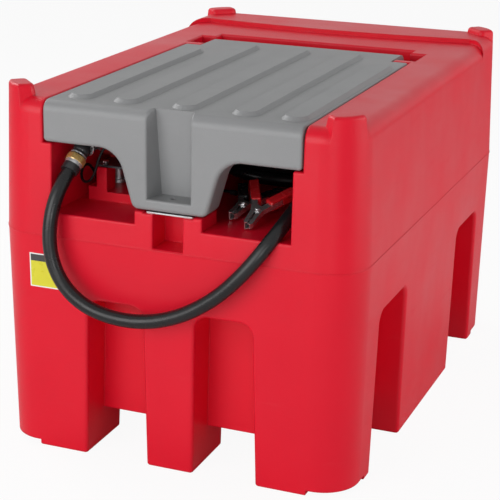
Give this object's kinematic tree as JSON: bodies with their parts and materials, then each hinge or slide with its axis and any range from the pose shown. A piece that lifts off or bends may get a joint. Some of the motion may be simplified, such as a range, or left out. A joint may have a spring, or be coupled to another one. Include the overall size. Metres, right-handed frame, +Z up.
{
  "type": "portable diesel tank",
  "caption": "Moulded plastic fuel tank with fork tunnels and stacking posts, and a pump bay with hose, nozzle and battery clamps under a hinged lid.",
  "frame": {"origin": "on the floor under the middle of the tank's box", "axes": "+Z up, front with the lock recess towards -Y, long side along Y, +X to the right seen from the front"},
  "size_m": [0.8016, 1.2158, 0.79],
  "materials": {
    "tank_plastic": "moulded polyethylene, faintly pebbled",
    "lid_plastic": "moulded polyethylene, faintly pebbled",
    "zinc_steel": "zinc plated",
    "sticker_film": "plain colour fields",
    "pump_paint": "gloss enamel",
    "cover_paint": "satin enamel",
    "motor_paint": "satin enamel",
    "black_plastic": "moulded",
    "rocker_red": "moulded",
    "aluminium": "as cast",
    "chrome": "polished",
    "elbow_black": "satin",
    "brass": "machined",
    "hose_rubber": "smooth rubber cover",
    "cable_rubber": "smooth",
    "red_lead_rubber": "smooth",
    "black_lead_rubber": "smooth",
    "clamp_steel": "dull nickel",
    "clamp_red_vinyl": "dipped vinyl",
    "clamp_black_vinyl": "dipped vinyl",
    "nozzle_paint": "as cast",
    "cap_plastic": "moulded"
  },
  "bodies": {
    "tank": {"tank_body": "tank_plastic", "hasp_plate": "zinc_steel", "hasp_screws": "zinc_steel", "plain_sticker": "sticker_film", "pump_plate": "zinc_steel", "pump_plate_bolts": "zinc_steel", "pump_head": "pump_paint", "pump_cover": "cover_paint", "pump_cover_screws": "zinc_steel", "motor_can": "motor_paint", "motor_cap": "black_plastic", "motor_cradle": "aluminium", "switch_box": "black_plastic", "cable_gland": "black_plastic", "suction_flange": "aluminium", "suction_tube": "aluminium", "suction_flange_screws": "zinc_steel", "foot_strainer": "brass", "outlet_pipe": "aluminium", "outlet_ring": "chrome", "outlet_elbow": "elbow_black", "brass_coupling": "brass", "hose_ferrule": "elbow_black", "hose": "hose_rubber", "hose_coil": "hose_rubber", "power_cable": "cable_rubber", "cable_coil": "cable_rubber", "cable_tail": "cable_rubber", "cable_boot": "black_plastic", "red_lead": "red_lead_rubber", "black_lead": "black_lead_rubber", "nozzle_ferrule": "elbow_black", "nozzle_swivel": "chrome", "nozzle_body": "nozzle_paint", "trigger_pin": "zinc_steel", "nozzle_guard": "black_plastic", "nozzle_spout": "nozzle_paint", "filler_neck": "black_plastic", "red_clamp_arm_left": "clamp_steel", "red_clamp_rivet": "clamp_steel", "red_clamp_spring": "clamp_steel", "red_clamp_grip_left": "clamp_red_vinyl", "black_clamp_arm_left": "clamp_steel", "black_clamp_rivet": "clamp_steel", "black_clamp_spring": "clamp_steel", "black_clamp_grip_left": "clamp_black_vinyl"},
    "lid": {"lid": "lid_plastic", "hinge_pin_left": "zinc_steel", "hinge_pin_right": "zinc_steel"},
    "filler_cap": {"filler_cap": "cap_plastic", "cap_vent": "chrome"},
    "switch_rocker": {"switch_rocker": "rocker_red"},
    "nozzle_trigger": {"nozzle_trigger": "black_plastic"},
    "red_clamp_handle": {"red_clamp_arm_right": "clamp_steel", "red_clamp_grip_right": "clamp_red_vinyl"},
    "black_clamp_handle": {"black_clamp_arm_right": "clamp_steel", "black_clamp_grip_right": "clamp_black_vinyl"}
  },
  "joints": [
    {"name": "lid_hinge", "type": "hinge", "parent": "tank", "child": "lid", "pos_m": [0, 0.215, 0.736], "axis": [-1, 0, 0], "range_deg": [0, 100]},
    {"name": "filler_cap_turn", "type": "hinge", "parent": "tank", "child": "filler_cap", "pos_m": [0.12, -0.02, 0.56], "axis": [0, 0, 1], "continuous": true},
    {"name": "switch_rock", "type": "hinge", "parent": "tank", "child": "switch_rocker", "pos_m": [-0.118, -0.36, 0.73], "axis": [1, 0, 0], "range_deg": [0, 12]},
    {"name": "trigger_squeeze", "type": "hinge", "parent": "tank", "child": "nozzle_trigger", "pos_m": [-0.184, -0.188, 0.5518], "axis": [0, 0, 1], "range_deg": [0, 15], "stiffness_Nm_per_rad": 0.5, "springref_deg": -8.59},
    {"name": "red_clamp_open", "type": "hinge", "parent": "tank", "child": "red_clamp_handle", "pos_m": [0.1532, -0.4788, 0.5602], "axis": [0.095, -0.313, 0.945], "range_deg": [0, 25], "stiffness_Nm_per_rad": 1.5, "springref_deg": -17.19},
    {"name": "black_clamp_open", "type": "hinge", "parent": "tank", "child": "black_clamp_handle", "pos_m": [0.1017, -0.4263, 0.551], "axis": [-0.0097, -0.1386, 0.9903], "range_deg": [0, 25], "stiffness_Nm_per_rad": 1.5, "springref_deg": -17.19}
  ]
}
